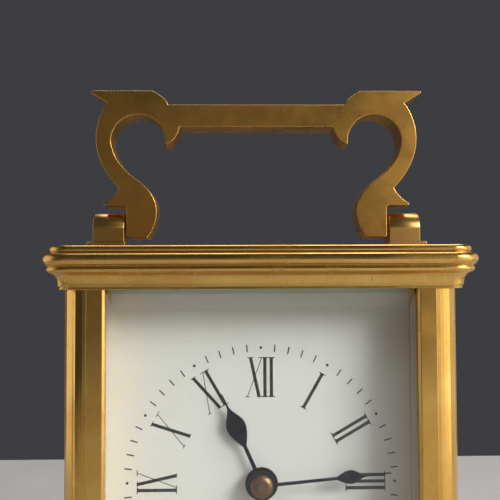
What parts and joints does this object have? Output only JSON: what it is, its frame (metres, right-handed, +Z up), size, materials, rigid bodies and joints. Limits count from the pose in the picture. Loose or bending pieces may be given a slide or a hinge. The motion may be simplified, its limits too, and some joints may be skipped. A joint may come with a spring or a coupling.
{
  "type": "carriage clock",
  "caption": "Brass carriage clock with a moulded cornice case, bevelled glasses, folding handle, Roman dial, rear door and a geared lever movement.",
  "frame": {"origin": "middle of the base on the surface that the clock rests on", "axes": "+Z up, +X to the viewer's right, +Y to the back; the dial faces -Y"},
  "size_m": [0.084, 0.072, 0.1434],
  "materials": {
    "case_brass": "aged polish",
    "movement_brass": "fine brushed",
    "steel": "polished",
    "blued_steel": "blued",
    "enamel": "gloss",
    "glass": "polished"
  },
  "bodies": {
    "root": {"base": "case_brass", "case_top": "case_brass", "pillar_front_left": "case_brass", "pillar_front_right": "case_brass", "pillar_rear_left": "case_brass", "pillar_rear_right": "case_brass", "front_glass": "glass", "left_glass": "glass", "right_glass": "glass", "top_glass": "glass", "case_screws": "steel", "door_hinge_pins": "steel", "handle_lug_left": "case_brass", "handle_lug_right": "case_brass", "handle_pivot_pins": "steel", "dial": "enamel", "front_plate": "movement_brass", "back_plate": "movement_brass", "movement_pillars": "movement_brass", "pillar_screws": "blued_steel", "movement_screws": "steel", "click_spring": "blued_steel", "ratchet_bridge": "movement_brass", "back_plate_screws": "blued_steel", "minute_wheel_stud": "steel", "platform_plate": "movement_brass", "platform_screws": "blued_steel", "escape_potence": "movement_brass", "escape_bridge": "movement_brass", "hairspring": "blued_steel", "balance_cock": "movement_brass"},
    "handle": {"handle": "case_brass"},
    "door": {"door_frame": "case_brass", "door_glass": "glass", "door_knob": "case_brass"},
    "minute_arbor": {"centre_arbor": "steel", "centre_wheel": "movement_brass", "cannon_pinion": "steel", "minute_hand": "blued_steel", "hand_collet": "case_brass"},
    "hour_work": {"hour_wheel": "movement_brass", "hour_hand": "blued_steel"},
    "minute_wheel": {"minute_wheel": "movement_brass"},
    "intermediate_wheel": {"intermediate_wheel": "movement_brass"},
    "going_barrel": {"barrel": "movement_brass", "barrel_cover": "movement_brass", "mainspring": "steel"},
    "third_wheel": {"third_wheel": "movement_brass"},
    "contrate_wheel": {"contrate_wheel": "movement_brass"},
    "escape_wheel": {"escape_wheel": "movement_brass"},
    "pallet_lever": {"pallet_lever": "steel"},
    "balance": {"balance_wheel": "movement_brass"},
    "winding_arbor": {"barrel_arbor": "steel", "ratchet_wheel": "steel"},
    "click": {"click": "steel"},
    "regulator": {"regulator": "steel"}
  },
  "joints": [
    {"name": "handle_fold", "type": "hinge", "parent": "root", "child": "handle", "pos_m": [0, 0, 0.113], "axis": [1, 0, 0], "range_deg": [-90, 90]},
    {"name": "door_swing", "type": "hinge", "parent": "root", "child": "door", "pos_m": [-0.0264, 0.0288, 0.0585], "axis": [0, 0, 1], "range_deg": [0, 90]},
    {"name": "minute_arbor_turn", "type": "hinge", "parent": "root", "child": "minute_arbor", "pos_m": [0, 0, 0.063], "axis": [0, 1, 0], "continuous": true},
    {"name": "hour_wheel_turn", "type": "hinge", "parent": "root", "child": "hour_work", "pos_m": [0, 0, 0.063], "axis": [0, 1, 0], "continuous": true},
    {"name": "minute_wheel_turn", "type": "hinge", "parent": "root", "child": "minute_wheel", "pos_m": [0.0054, 0, 0.05657], "axis": [0, 1, 0], "continuous": true},
    {"name": "intermediate_wheel_turn", "type": "hinge", "parent": "root", "child": "intermediate_wheel", "pos_m": [-0.009, 0, 0.05418], "axis": [0, 1, 0], "continuous": true},
    {"name": "going_barrel_turn", "type": "hinge", "parent": "root", "child": "going_barrel", "pos_m": [0.00398, 0, 0.0395], "axis": [0, 1, 0], "continuous": true},
    {"name": "third_wheel_turn", "type": "hinge", "parent": "root", "child": "third_wheel", "pos_m": [0.0085, 0, 0.0723], "axis": [0, 1, 0], "continuous": true},
    {"name": "contrate_wheel_turn", "type": "hinge", "parent": "root", "child": "contrate_wheel", "pos_m": [0, 0, 0.07795], "axis": [0, 1, 0], "continuous": true},
    {"name": "escape_wheel_turn", "type": "hinge", "parent": "root", "child": "escape_wheel", "pos_m": [0, -0.0085, 0.0915], "axis": [0, 0, 1], "continuous": true},
    {"name": "pallet_lever_rock", "type": "hinge", "parent": "root", "child": "pallet_lever", "pos_m": [0, -0.0033, 0.0915], "axis": [0, 0, 1], "range_deg": [-5, 5]},
    {"name": "balance_swing", "type": "hinge", "parent": "root", "child": "balance", "pos_m": [0, 0.0032, 0.0945], "axis": [0, 0, 1], "range_deg": [-135, 135], "stiffness_Nm_per_rad": 0.000006},
    {"name": "winding_arbor_turn", "type": "hinge", "parent": "root", "child": "winding_arbor", "pos_m": [0.00398, 0, 0.0395], "axis": [0, 1, 0], "continuous": true},
    {"name": "click_lift", "type": "hinge", "parent": "root", "child": "click", "pos_m": [0.0099, 0, 0.05063], "axis": [0, 1, 0], "range_deg": [-10, 0]},
    {"name": "regulator_turn", "type": "hinge", "parent": "root", "child": "regulator", "pos_m": [0, 0.0032, 0.098], "axis": [0, 0, 1], "range_deg": [-20, 20]}
  ],
  "couplings": [
    {"joint": "hour_wheel_turn", "follows": "minute_arbor_turn", "ratio": 0.083333},
    {"joint": "minute_wheel_turn", "follows": "minute_arbor_turn", "ratio": -0.33333},
    {"joint": "intermediate_wheel_turn", "follows": "minute_arbor_turn", "ratio": -0.25},
    {"joint": "going_barrel_turn", "follows": "minute_arbor_turn", "ratio": 0.041667},
    {"joint": "third_wheel_turn", "follows": "minute_arbor_turn", "ratio": -8},
    {"joint": "contrate_wheel_turn", "follows": "minute_arbor_turn", "ratio": 60},
    {"joint": "escape_wheel_turn", "follows": "minute_arbor_turn", "ratio": -600}
  ]
}
